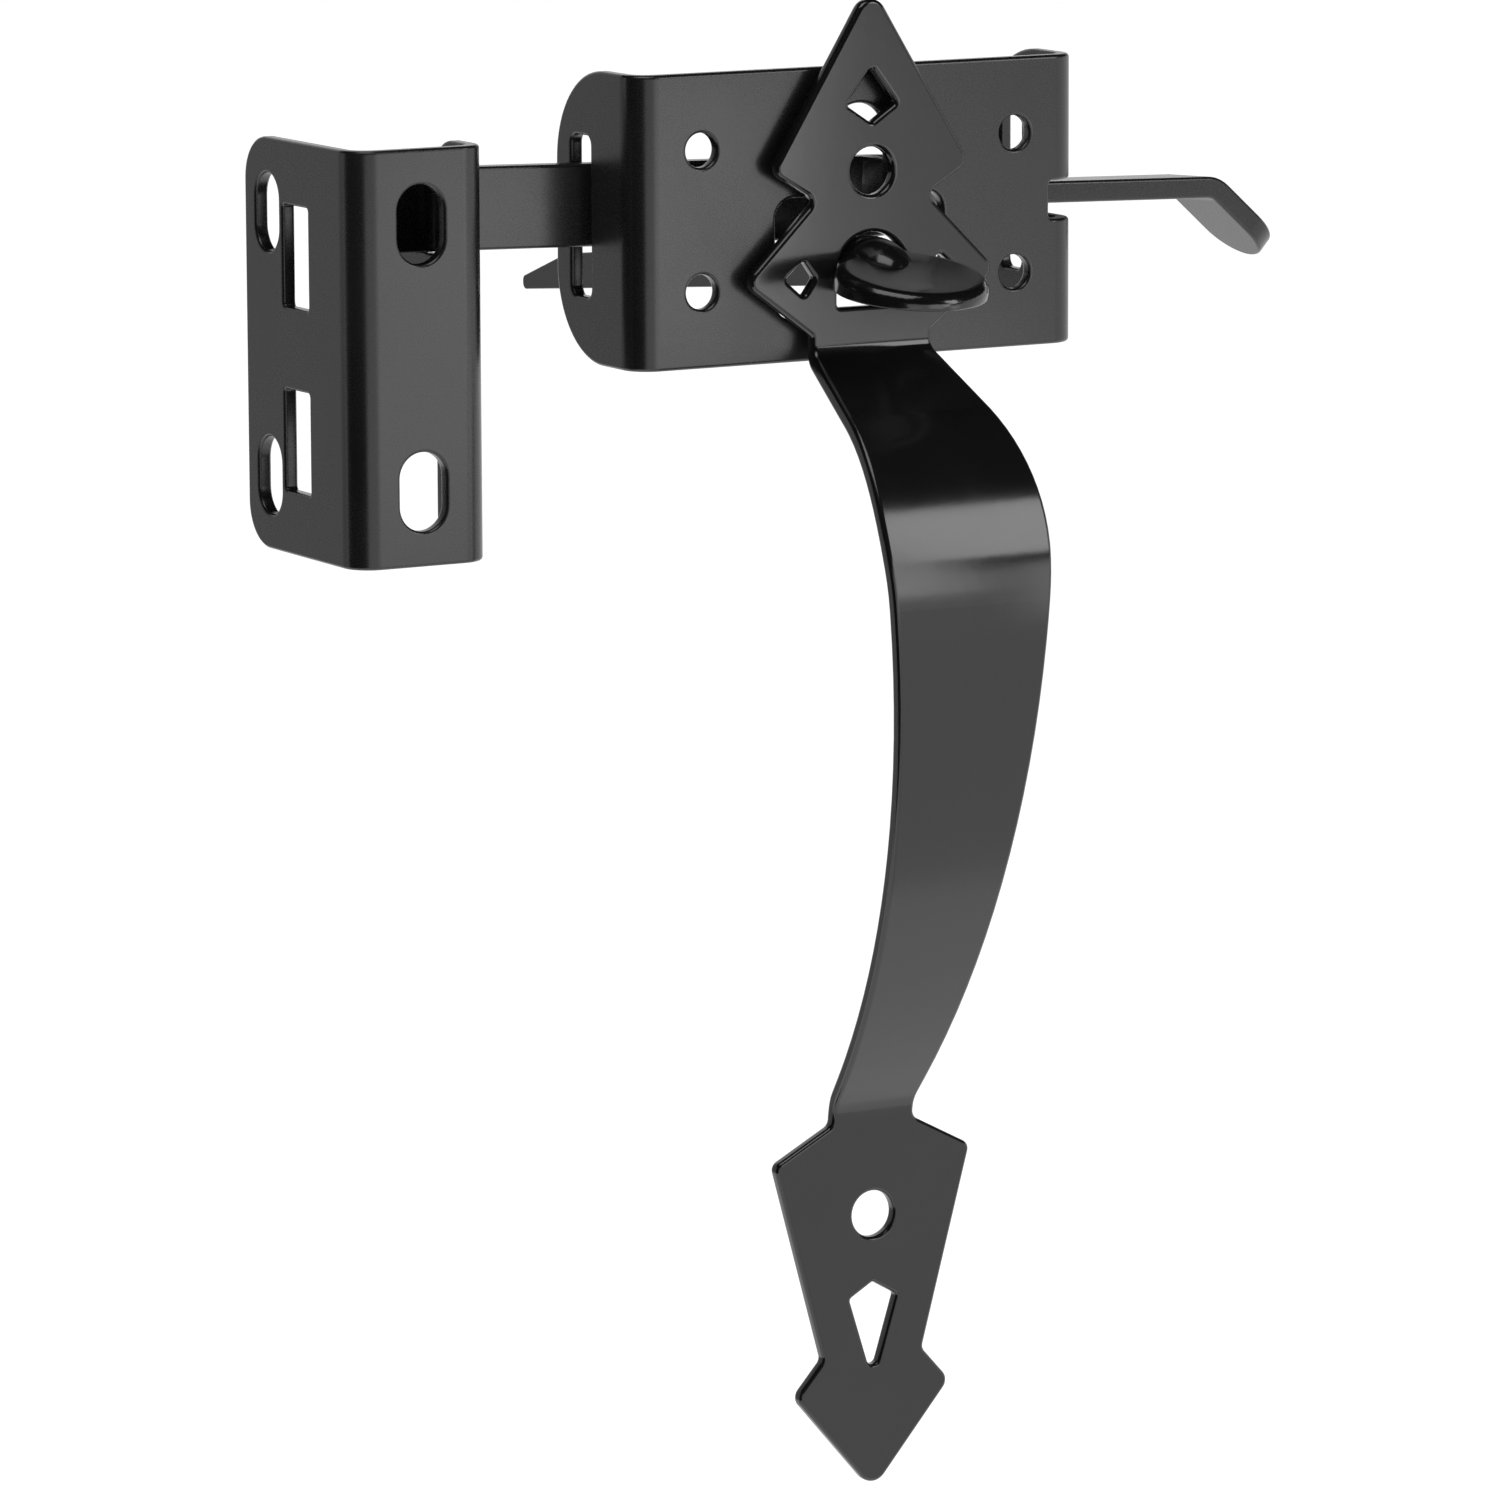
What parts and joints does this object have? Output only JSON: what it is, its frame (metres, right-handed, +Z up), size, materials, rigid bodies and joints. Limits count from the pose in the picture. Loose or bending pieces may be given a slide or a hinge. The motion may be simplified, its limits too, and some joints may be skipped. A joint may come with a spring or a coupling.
{
  "type": "thumb latch",
  "caption": "Gate thumb latch: bowed pull handle with a thumb press, a long blade that lifts a twisted latch bar held in a folded case, and a folded strike with a catch.",
  "frame": {"origin": "middle of the latch case's four screw holes, on the flat front of the case", "axes": "+Z up along the handle, +X to the right along the latch bar towards its bent end, +Y away from the handle, through the gate and along the blade"},
  "size_m": [0.2259, 0.1881, 0.3065],
  "materials": {
    "case_coat": "satin black powder coat",
    "strike_coat": "satin black powder coat",
    "bar_coat": "satin black powder coat",
    "handle_coat": "satin black powder coat",
    "lever_coat": "satin black powder coat"
  },
  "bodies": {
    "fixed": {"latch_case": "case_coat", "strike": "strike_coat", "handle": "handle_coat"},
    "bar": {"latch_bar": "bar_coat"},
    "thumb": {"thumb_lever": "lever_coat"}
  },
  "joints": [
    {"name": "thumb_hinge", "type": "hinge", "parent": "fixed", "child": "thumb", "pos_m": [0, -0.0035, -0.0105], "axis": [1, 0, 0], "range_deg": [0, 5.7]},
    {"name": "bar_hinge", "type": "hinge", "parent": "fixed", "child": "bar", "pos_m": [0.0505, 0.0227, -0.0005], "axis": [0, 1, 0], "range_deg": [0, 2.8]}
  ],
  "couplings": [
    {"joint": "bar_hinge", "follows": "thumb_hinge", "ratio": 0.49}
  ]
}
